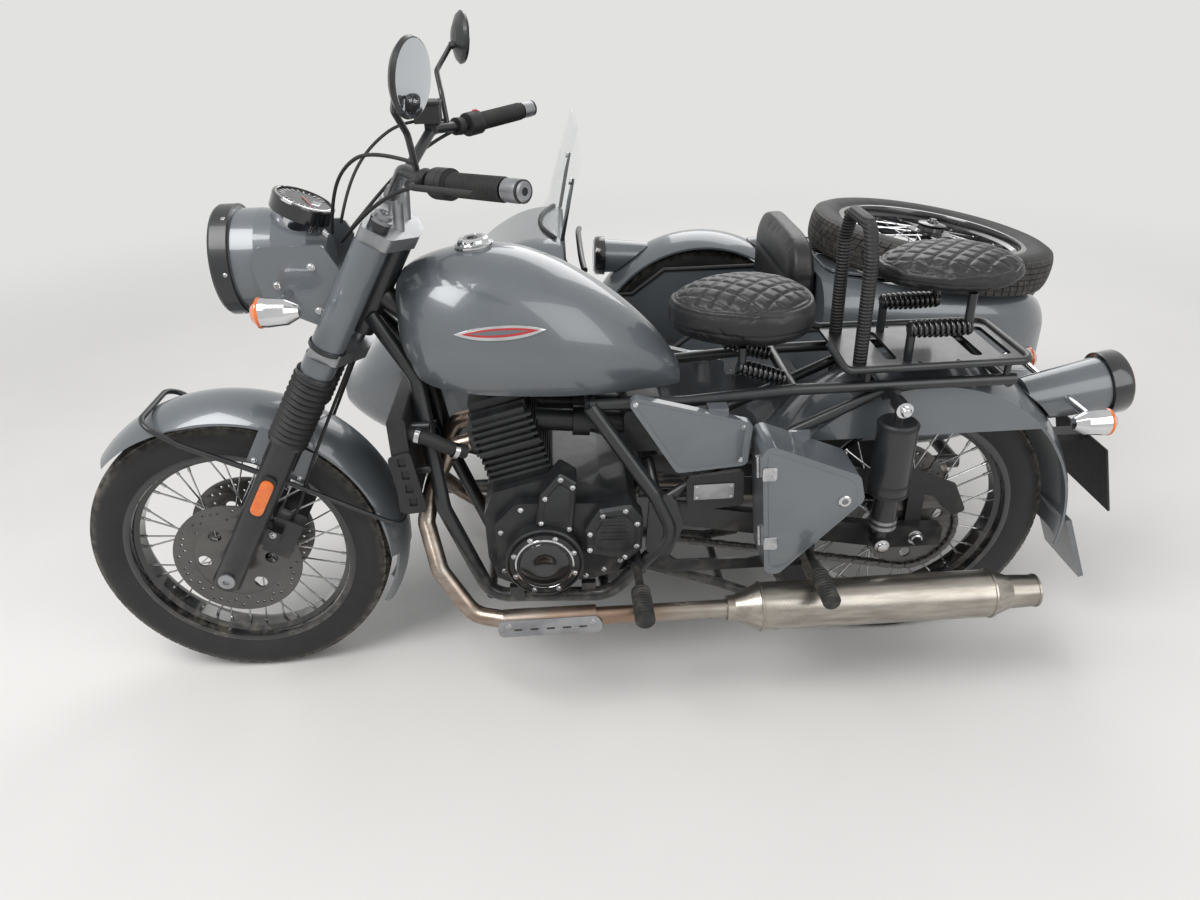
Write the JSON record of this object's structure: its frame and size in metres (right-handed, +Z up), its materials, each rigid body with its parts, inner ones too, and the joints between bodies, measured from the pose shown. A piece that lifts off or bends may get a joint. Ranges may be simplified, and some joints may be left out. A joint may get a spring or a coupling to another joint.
{
  "type": "sidecar motorcycle",
  "caption": "Classic three-wheeled motorcycle with an enclosed sidecar, spoked wheels, teardrop tank, quilted saddles and a spare wheel on the boot.",
  "frame": {"origin": "middle of the ground rectangle under the whole vehicle, at floor level", "axes": "+X forward, +Y to the rider's left, +Z up"},
  "size_m": [2.4449, 1.6656, 1.3993],
  "materials": {
    "black_frame": "satin black paint",
    "grey_paint": "gloss battleship grey paint",
    "black_engine": "satin black coated aluminium",
    "bright_steel": "brushed stainless steel",
    "chrome": "polished",
    "raw_aluminium": "cast, lacquered",
    "wheel_black": "gloss black rims with bright spokes",
    "tyre_rubber": "matte",
    "black_rubber": "matte ribbed",
    "black_leather": "satin, quilted",
    "clear_glass": "clear",
    "lamp_red": "black housing with a red lens",
    "mirror_black": "black stems, round mirror heads"
  },
  "bodies": {
    "chassis": {"main_frame": "black_frame", "engine_cases": "black_engine", "cylinder_block": "black_engine", "radiator": "black_engine", "fuel_tank": "grey_paint", "tank_cap": "chrome", "side_covers": "grey_paint", "toolbox_body": "grey_paint", "exhaust_pipes": "bright_steel", "silencers": "bright_steel", "foot_pegs": "black_frame", "swingarm": "black_frame", "shock_absorbers": "black_frame", "chain": "bright_steel", "chain_guard": "black_frame", "rear_fender": "grey_paint", "rear_lamp": "lamp_red", "rear_indicators": "chrome", "plate_bracket": "black_frame", "luggage_rack": "black_frame", "driver_seat": "black_leather", "pillion_seat": "black_leather", "seat_springs": "black_frame", "grab_loop": "black_frame", "sidecar_frame": "black_frame", "sidecar_body": "grey_paint", "sidecar_cushion": "black_leather", "sidecar_backrest": "black_leather", "windscreen": "clear_glass", "sidecar_fender": "grey_paint", "sidecar_lamps": "black_frame", "sidecar_swingarm": "black_frame", "intake": "black_engine", "battery_panel": "black_frame", "screen_stays": "black_frame", "step_plate": "raw_aluminium"},
    "steering_head": {"fork_legs": "black_engine", "fork_gaiters": "black_rubber", "fork_covers": "grey_paint", "yokes": "raw_aluminium", "headlamp_shell": "black_frame", "headlamp_glass": "clear_glass", "speedometer": "chrome", "handlebar": "black_frame", "bar_controls": "black_frame", "mirrors": "mirror_black", "front_fender": "grey_paint", "fender_stays": "black_frame", "front_indicators": "chrome"},
    "front_wheel_set": {"front_tyre": "tyre_rubber", "front_wheel": "wheel_black"},
    "rear_wheel_set": {"rear_tyre": "tyre_rubber", "rear_wheel": "wheel_black"},
    "sidecar_wheel_set": {"sidecar_tyre": "tyre_rubber", "sidecar_wheel": "wheel_black"},
    "toolbox_flap": {"toolbox_door": "grey_paint"},
    "boot_cover": {"boot_lid": "grey_paint", "spare_tyre": "tyre_rubber", "spare_wheel": "wheel_black"},
    "stand": {"centre_stand": "black_frame"}
  },
  "joints": [
    {"name": "steering", "type": "hinge", "parent": "chassis", "child": "steering_head", "pos_m": [0.50582, 0.36918, 0.91487], "axis": [-0.503, 0, 0.8643], "range_deg": [-35, 35]},
    {"name": "front_wheel_spin", "type": "hinge", "parent": "steering_head", "child": "front_wheel_set", "pos_m": [0.8925, 0.36918, 0.33], "axis": [0, 1, 0], "continuous": true},
    {"name": "rear_wheel_spin", "type": "hinge", "parent": "chassis", "child": "rear_wheel_set", "pos_m": [-0.6245, 0.36918, 0.33], "axis": [0, 1, 0], "continuous": true},
    {"name": "sidecar_wheel_spin", "type": "hinge", "parent": "chassis", "child": "sidecar_wheel_set", "pos_m": [-0.3155, -0.74082, 0.33], "axis": [0, 1, 0], "continuous": true},
    {"name": "toolbox_door_hinge", "type": "hinge", "parent": "chassis", "child": "toolbox_flap", "pos_m": [-0.234, 0.57433, 0.652], "axis": [-0.0699, 0, -0.9976], "range_deg": [0, 100]},
    {"name": "boot_lid_hinge", "type": "hinge", "parent": "chassis", "child": "boot_cover", "pos_m": [-1.1735, -0.28582, 0.646], "axis": [0, -1, 0], "range_deg": [0, 60]},
    {"name": "centre_stand_hinge", "type": "hinge", "parent": "chassis", "child": "stand", "pos_m": [-0.0045, 0.36918, 0.262], "axis": [0, -1, 0], "range_deg": [0, 95]}
  ]
}
